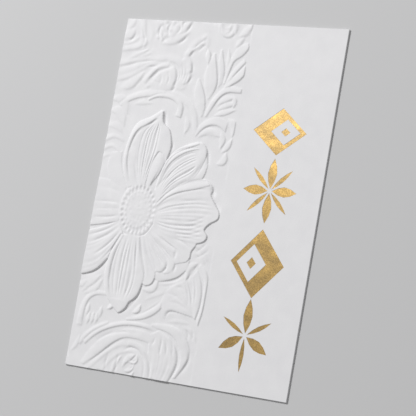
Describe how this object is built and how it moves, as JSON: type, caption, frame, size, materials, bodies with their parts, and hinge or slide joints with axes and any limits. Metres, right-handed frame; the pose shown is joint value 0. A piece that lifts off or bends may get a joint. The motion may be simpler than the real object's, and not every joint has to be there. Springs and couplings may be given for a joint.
{
  "type": "embossed foil postcard",
  "caption": "Thick white card sheet with a flower and scrolling leaves raised on its left side and gold foil ornaments in a column on its right; it lies flat.",
  "frame": {"origin": "middle of the card's back, on the surface that it lies on", "axes": "+Y along the long side towards the top of the picture, +X to the right along the short side, +Z out of the printed face"},
  "size_m": [0.105, 0.148, 0.0015],
  "materials": {
    "card": "uncoated matte board",
    "foil": "gold foil, satin"
  },
  "bodies": {
    "root": {"card": "card", "foil_upper_lozenge": "foil", "foil_eight_leaf_whorl": "foil", "foil_lower_lozenge": "foil", "foil_six_leaf_whorl": "foil"}
  },
  "joints": []
}
